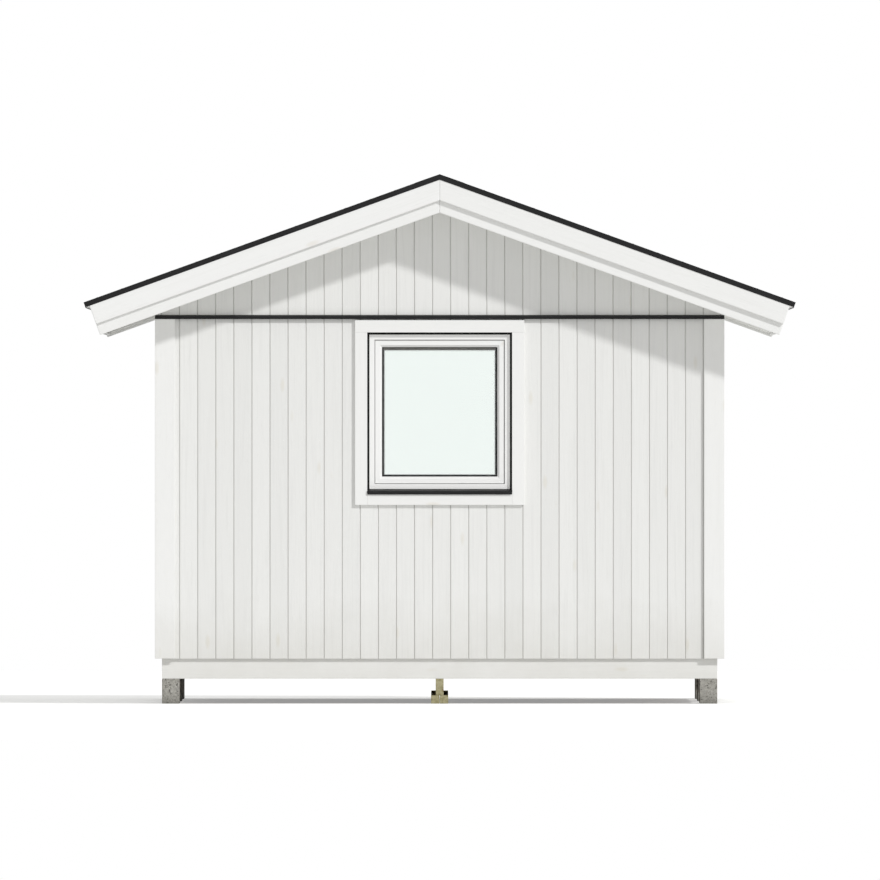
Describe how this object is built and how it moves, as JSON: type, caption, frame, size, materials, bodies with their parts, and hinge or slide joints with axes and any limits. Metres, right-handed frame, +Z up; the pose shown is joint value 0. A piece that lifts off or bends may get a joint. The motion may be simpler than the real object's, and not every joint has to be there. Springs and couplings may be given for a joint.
{
  "type": "guest cabin",
  "caption": "One-room timber guest cabin with board cladding, a pitched felt roof, framed windows and a side door that opens, standing on block plinths.",
  "frame": {"origin": "on the ground under the middle of the cabin", "axes": "+Z up, +Y along the ridge from the front gable to the back gable, +X to the right as seen from the front gable, so the door is on the -X side"},
  "size_m": [4.047, 5.178, 3.0106],
  "materials": {
    "concrete": "light grey cast concrete, matt",
    "raw_timber": "planed softwood, untreated",
    "floor_timber": "oiled pine floor boards",
    "painted_cladding": "white oil paint on grooved boards, low sheen",
    "painted_trim": "white oil paint on planed boards, low sheen",
    "painted_joinery": "factory white paint, satin",
    "black_sheet_metal": "black coated folded sheet steel, satin",
    "glass": "clear float glass",
    "roofing_felt": "black slate-chip bitumen roofing felt",
    "steel_fittings": "satin stainless steel"
  },
  "bodies": {
    "cabin": {"plinth_blocks": "concrete", "middle_bearer": "raw_timber", "bearer_sleepers": "raw_timber", "floor_rim_ends": "painted_trim", "floor_rim_sides": "painted_trim", "floor_joists": "raw_timber", "floor_boards": "floor_timber", "front_wall": "raw_timber", "back_wall": "raw_timber", "right_wall": "raw_timber", "left_wall": "raw_timber", "left_wall_over_door": "raw_timber", "front_cladding": "painted_cladding", "back_cladding": "painted_cladding", "right_cladding": "painted_cladding", "left_cladding": "painted_cladding", "gable_corner_boards": "painted_trim", "side_corner_boards": "painted_trim", "gable_drip_strips": "black_sheet_metal", "window_frames": "painted_joinery", "window_sashes": "painted_joinery", "window_glass": "glass", "window_sills": "black_sheet_metal", "upright_trim_boards": "painted_trim", "level_trim_boards": "painted_trim", "door_frame": "painted_joinery", "door_hinge_pins": "steel_fittings", "roof_panel_left": "raw_timber", "roof_panel_right": "raw_timber", "roof_boards_left": "raw_timber", "roof_boards_right": "raw_timber", "roofing_left": "roofing_felt", "roofing_right": "roofing_felt", "ridge_cap": "roofing_felt", "edge_flashing_left": "black_sheet_metal", "edge_flashing_right": "black_sheet_metal", "fascia_boards": "painted_trim", "inner_barge_left": "painted_trim", "inner_barge_right": "painted_trim", "outer_barge_left": "painted_trim", "outer_barge_right": "painted_trim"},
    "door": {"door_leaf": "painted_joinery", "door_lock_plates": "steel_fittings", "door_hinge_sleeves": "steel_fittings"},
    "handle": {"door_handle": "steel_fittings"}
  },
  "joints": [
    {"name": "door_hinge", "type": "hinge", "parent": "cabin", "child": "door", "pos_m": [-1.582, -0.3025, 1.2], "axis": [0, 0, -1], "range_deg": [0, 110]},
    {"name": "handle_turn", "type": "hinge", "parent": "door", "child": "handle", "pos_m": [-1.572, -1.035, 1.266], "axis": [-1, 0, 0], "range_deg": [0, 45], "stiffness_Nm_per_rad": 2, "springref_deg": -34.38}
  ]
}
